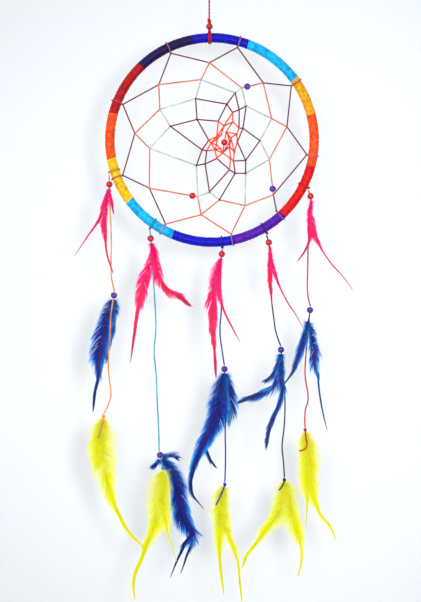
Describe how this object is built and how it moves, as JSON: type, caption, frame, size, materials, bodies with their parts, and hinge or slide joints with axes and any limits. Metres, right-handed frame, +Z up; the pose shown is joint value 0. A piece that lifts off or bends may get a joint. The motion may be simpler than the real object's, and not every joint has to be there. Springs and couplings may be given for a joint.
{
  "type": "dream catcher",
  "caption": "Round hoop wrapped in ribbon with a knotted thread web and beads, hung from a cord, with beaded threads below it that carry groups of pink, blue and yellow feathers.",
  "frame": {"origin": "where a hook bears in the hanging eye, the highest point that the object is held by", "axes": "+Z up, -Y towards the viewer in front, +X to the viewer's right; the hoop and the web lie in the plane of X and Z"},
  "size_m": [0.2591, 0.0133, 0.6055],
  "materials": {
    "cord": "matt twisted cord",
    "cane": "bare cane",
    "wrapping": "satin ribbon wound in runs of blue, violet, red, orange, yellow and light blue",
    "web": "waxed thread that changes colour along its length",
    "red_bead": "glossy",
    "violet_bead": "glossy and slightly translucent",
    "pink_feather": "dyed feather, glossy",
    "blue_feather": "dyed feather, glossy",
    "yellow_feather": "dyed feather, glossy",
    "orange_thread": "waxed thread",
    "turquoise_thread": "waxed thread",
    "indigo_thread": "waxed thread",
    "dark_thread": "waxed thread",
    "red_thread": "waxed thread"
  },
  "bodies": {
    "hanging_eye": {"eye_loop": "cord", "eye_knot": "cord"},
    "hanging_cord": {"hanging_cord": "cord"},
    "hoop": {"top_knot": "cord", "top_bead": "red_bead", "hanger_hitch": "cord", "hoop_core": "cane", "hoop_wrap": "wrapping", "web_thread": "web", "web_bead_upper": "violet_bead", "web_bead_right": "violet_bead", "web_bead_lower": "red_bead", "web_bead_centre": "red_bead", "hitch_1": "orange_thread", "hitch_2": "turquoise_thread", "hitch_3": "indigo_thread", "hitch_4": "dark_thread", "hitch_5": "red_thread"},
    "strand_1_upper": {"upper_thread_1": "orange_thread", "red_bead_1": "red_bead", "pink_feathers_1": "pink_feather"},
    "strand_1_lower": {"lower_thread_1": "orange_thread", "purple_bead_1": "violet_bead", "blue_feathers_1": "blue_feather"},
    "strand_1_end": {"end_knot_1": "orange_thread", "yellow_feathers_1": "yellow_feather"},
    "strand_2_upper": {"upper_thread_2": "turquoise_thread", "red_bead_2": "red_bead", "pink_feathers_2": "pink_feather"},
    "strand_2_lower": {"lower_thread_2": "turquoise_thread", "purple_bead_2": "violet_bead", "blue_feathers_2": "blue_feather"},
    "strand_2_end": {"end_knot_2": "turquoise_thread", "yellow_feathers_2": "yellow_feather"},
    "strand_3_upper": {"upper_thread_3": "indigo_thread", "red_bead_3": "red_bead", "pink_feathers_3": "pink_feather"},
    "strand_3_lower": {"lower_thread_3": "indigo_thread", "purple_bead_3": "violet_bead", "blue_feathers_3": "blue_feather"},
    "strand_3_end": {"end_knot_3": "indigo_thread", "yellow_feathers_3": "yellow_feather"},
    "strand_4_upper": {"upper_thread_4": "dark_thread", "red_bead_4": "red_bead", "pink_feathers_4": "pink_feather"},
    "strand_4_lower": {"lower_thread_4": "dark_thread", "purple_bead_4": "violet_bead", "blue_feathers_4": "blue_feather"},
    "strand_4_end": {"end_knot_4": "dark_thread", "yellow_feathers_4": "yellow_feather"},
    "strand_5_upper": {"upper_thread_5": "red_thread", "red_bead_5": "red_bead", "pink_feathers_5": "pink_feather"},
    "strand_5_lower": {"lower_thread_5": "red_thread", "purple_bead_5": "violet_bead", "blue_feathers_5": "blue_feather"},
    "strand_5_end": {"end_knot_5": "red_thread", "yellow_feathers_5": "yellow_feather"}
  },
  "joints": [
    {"name": "hoop_swing", "type": "hinge", "parent": "hanging_eye", "child": "hanging_cord", "pos_m": [0, 0, -0.02525], "axis": [0, 1, 0], "range_deg": [-25, 25]},
    {"name": "hoop_twist", "type": "hinge", "parent": "hanging_cord", "child": "hoop", "pos_m": [0, 0, -0.05825], "axis": [0, 0, 1], "continuous": true},
    {"name": "strand_1_swing", "type": "hinge", "parent": "hoop", "child": "strand_1_upper", "pos_m": [-0.09335, -0.0032, -0.20425], "axis": [1, 0, 0], "range_deg": [-40, 25]},
    {"name": "strand_1_lower_swing", "type": "hinge", "parent": "strand_1_upper", "child": "strand_1_lower", "pos_m": [-0.08825, -0.0032, -0.31355], "axis": [0, 1, 0], "range_deg": [-12, 12]},
    {"name": "strand_1_tip_swing", "type": "hinge", "parent": "strand_1_lower", "child": "strand_1_end", "pos_m": [-0.09865, -0.0032, -0.42775], "axis": [1, 0, 0], "range_deg": [-45, 45]},
    {"name": "strand_2_swing", "type": "hinge", "parent": "hoop", "child": "strand_2_upper", "pos_m": [-0.05542, 0.0032, -0.25617], "axis": [1, 0, 0], "range_deg": [-40, 40]},
    {"name": "strand_2_lower_swing", "type": "hinge", "parent": "strand_2_upper", "child": "strand_2_lower", "pos_m": [-0.04692, 0.0032, -0.46287], "axis": [0, 1, 0], "range_deg": [-12, 12]},
    {"name": "strand_2_tip_swing", "type": "hinge", "parent": "strand_2_lower", "child": "strand_2_end", "pos_m": [-0.04362, 0.0032, -0.47637], "axis": [1, 0, 0], "range_deg": [-40, 0]},
    {"name": "strand_3_swing", "type": "hinge", "parent": "hoop", "child": "strand_3_upper", "pos_m": [0.01217, -0.0032, -0.27409], "axis": [1, 0, 0], "range_deg": [-40, 40]},
    {"name": "strand_3_lower_swing", "type": "hinge", "parent": "strand_3_upper", "child": "strand_3_lower", "pos_m": [0.01407, -0.0032, -0.38219], "axis": [0, 1, 0], "range_deg": [-12, 12]},
    {"name": "strand_3_tip_swing", "type": "hinge", "parent": "strand_3_lower", "child": "strand_3_end", "pos_m": [0.01447, -0.0032, -0.49099], "axis": [1, 0, 0], "range_deg": [-45, 45]},
    {"name": "strand_4_swing", "type": "hinge", "parent": "hoop", "child": "strand_4_upper", "pos_m": [0.05355, 0.0032, -0.26064], "axis": [1, 0, 0], "range_deg": [-40, 40]},
    {"name": "strand_4_lower_swing", "type": "hinge", "parent": "strand_4_upper", "child": "strand_4_lower", "pos_m": [0.06695, 0.0032, -0.36434], "axis": [0, 1, 0], "range_deg": [-12, 12]},
    {"name": "strand_4_tip_swing", "type": "hinge", "parent": "strand_4_lower", "child": "strand_4_end", "pos_m": [0.07025, 0.0032, -0.48724], "axis": [1, 0, 0], "range_deg": [-45, 45]},
    {"name": "strand_5_swing", "type": "hinge", "parent": "hoop", "child": "strand_5_upper", "pos_m": [0.0925, -0.0032, -0.21888], "axis": [1, 0, 0], "range_deg": [-40, 40]},
    {"name": "strand_5_lower_swing", "type": "hinge", "parent": "strand_5_upper", "child": "strand_5_lower", "pos_m": [0.0943, -0.0032, -0.32718], "axis": [0, 1, 0], "range_deg": [-12, 12]},
    {"name": "strand_5_tip_swing", "type": "hinge", "parent": "strand_5_lower", "child": "strand_5_end", "pos_m": [0.0894, -0.0032, -0.44008], "axis": [1, 0, 0], "range_deg": [-45, 45]}
  ]
}
